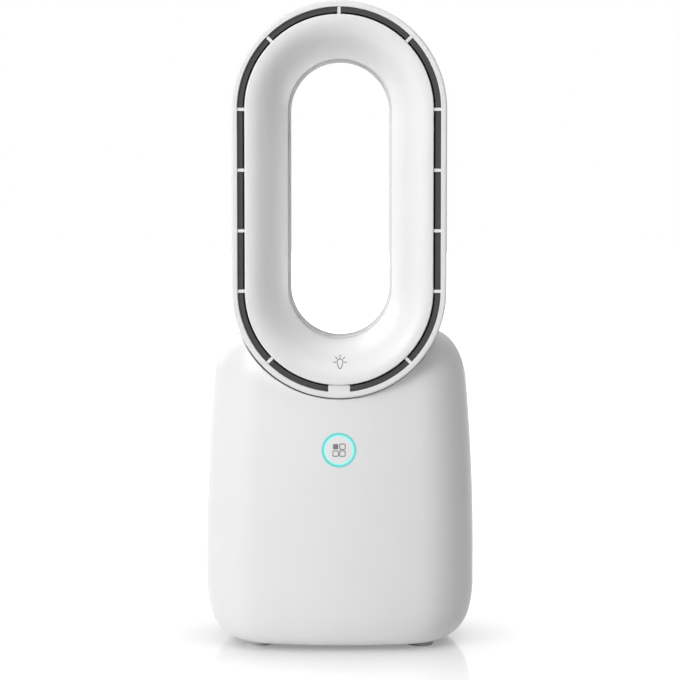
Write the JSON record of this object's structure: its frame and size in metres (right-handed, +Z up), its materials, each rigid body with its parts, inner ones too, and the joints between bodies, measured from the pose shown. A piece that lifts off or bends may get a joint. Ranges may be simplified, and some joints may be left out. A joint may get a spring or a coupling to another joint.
{
  "type": "bladeless fan",
  "caption": "White bladeless table fan: upright oval air ring with a narrow air slot and funnel throat, on a rounded housing with a lit mode key",
  "frame": {"origin": "on the table, under the middle of the object's footprint", "axes": "+X to the right as seen from the front, +Y towards the back, +Z up"},
  "size_m": [0.1528, 0.104, 0.3607],
  "materials": {
    "shell_white": "satin",
    "slot_dark": "matte",
    "diffuser_white": "milky",
    "inner_white": "matte",
    "circuit_green": "satin",
    "lamp_yellow": "satin",
    "film_amber": "satin",
    "foot_rubber": "matte",
    "screw_steel": "satin",
    "filter_grey": "matte",
    "inner_black": "matte",
    "impeller_grey": "satin",
    "brass_tube": "satin",
    "bearing_steel": "polished",
    "stator_steel": "satin",
    "coil_copper": "gloss",
    "can_metal": "satin",
    "magnet_dark": "matte",
    "gasket_dark": "matte",
    "halo_cyan": "lit",
    "lamp_cyan": "satin",
    "component_dark": "satin",
    "lead_black": "satin"
  },
  "bodies": {
    "base": {"ring_outer_shell": "shell_white", "ring_back_shell": "shell_white", "ring_funnel": "shell_white", "slot_frame": "shell_white", "slot_liner": "slot_dark", "light_diffuser": "diffuser_white", "light_reflector": "inner_white", "led_strip": "circuit_green", "led_chips": "lamp_yellow", "light_touch_film": "film_amber", "base_front_shell": "shell_white", "base_rear_shell": "shell_white", "bottom_cover": "shell_white", "rubber_feet": "foot_rubber", "cover_screws": "screw_steel", "shell_screws": "screw_steel", "mount_grommets": "foot_rubber", "mount_screws": "screw_steel", "fan_shroud": "inner_black", "motor_duct": "inner_black", "duct_screws": "screw_steel", "bearing_tube": "brass_tube", "motor_bearings": "bearing_steel", "motor_board": "circuit_green", "motor_stator": "stator_steel", "motor_coils": "coil_copper", "motor_cap": "inner_black", "outlet_adapter": "inner_black", "neck_seal": "foot_rubber", "neck_screws": "screw_steel", "neck_gasket": "gasket_dark", "saddle_seal": "gasket_dark", "key_light_guide": "halo_cyan", "key_board": "circuit_green", "key_switch": "inner_black", "key_leds": "lamp_cyan", "key_board_screws": "screw_steel", "main_board": "circuit_green", "main_board_screws": "screw_steel", "board_connectors": "inner_white", "board_parts": "component_dark", "inlet_board": "circuit_green", "inlet_socket": "bearing_steel", "inlet_tongue": "inner_black", "motor_lead": "lead_black", "ring_lead": "lead_black", "key_lead": "lead_black", "inlet_lead": "lead_black"},
    "rotor": {"impeller": "impeller_grey", "motor_shaft": "bearing_steel", "rotor_can": "can_metal", "rotor_magnet": "magnet_dark"},
    "key": {"mode_key": "shell_white", "key_plunger": "inner_black"},
    "intake_panel": {"rear_grille": "shell_white", "dust_filter": "filter_grey"}
  },
  "joints": [
    {"name": "impeller_spin", "type": "hinge", "parent": "base", "child": "rotor", "pos_m": [0, 0, 0.06], "axis": [0, 0, 1], "continuous": true},
    {"name": "mode_key_press", "type": "slide", "parent": "base", "child": "key", "axis": [0, 1, 0], "range_m": [0, 0.0008], "stiffness_N_per_m": 900, "springref_m": -0.0005},
    {"name": "intake_panel_off", "type": "slide", "parent": "base", "child": "intake_panel", "axis": [0, 1, 0], "range_m": [0, 0.06]}
  ]
}
